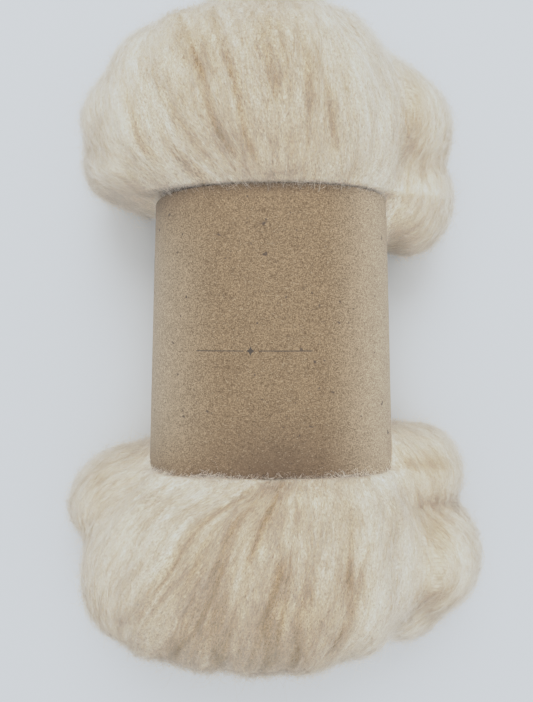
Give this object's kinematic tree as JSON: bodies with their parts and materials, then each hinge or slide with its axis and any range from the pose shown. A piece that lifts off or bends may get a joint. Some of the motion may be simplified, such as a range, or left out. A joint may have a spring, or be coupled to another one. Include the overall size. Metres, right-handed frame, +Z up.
{
  "type": "hank of wool roving with a paper band",
  "caption": "Soft hank of cream wool roving with tan streaks, wound in loops and cinched round its waist by a wide kraft paper band, lying on its back.",
  "frame": {"origin": "middle of the footprint, on the surface that the hank lies on", "axes": "+Y along the hank, from its lower end in the picture to its upper one; +Z up from the surface, out of the band's face; +X to the picture's right"},
  "size_m": [0.1728, 0.2736, 0.0902],
  "materials": {
    "cream_wool": "carded, undyed wool and alpaca sliver: matt, hairy, cream with tan streaks",
    "kraft_paper": "uncoated recycled kraft card: matt brown with dark and pale flecks"
  },
  "bodies": {
    "root": {"roving_hank": "cream_wool", "paper_band": "kraft_paper"}
  },
  "joints": []
}
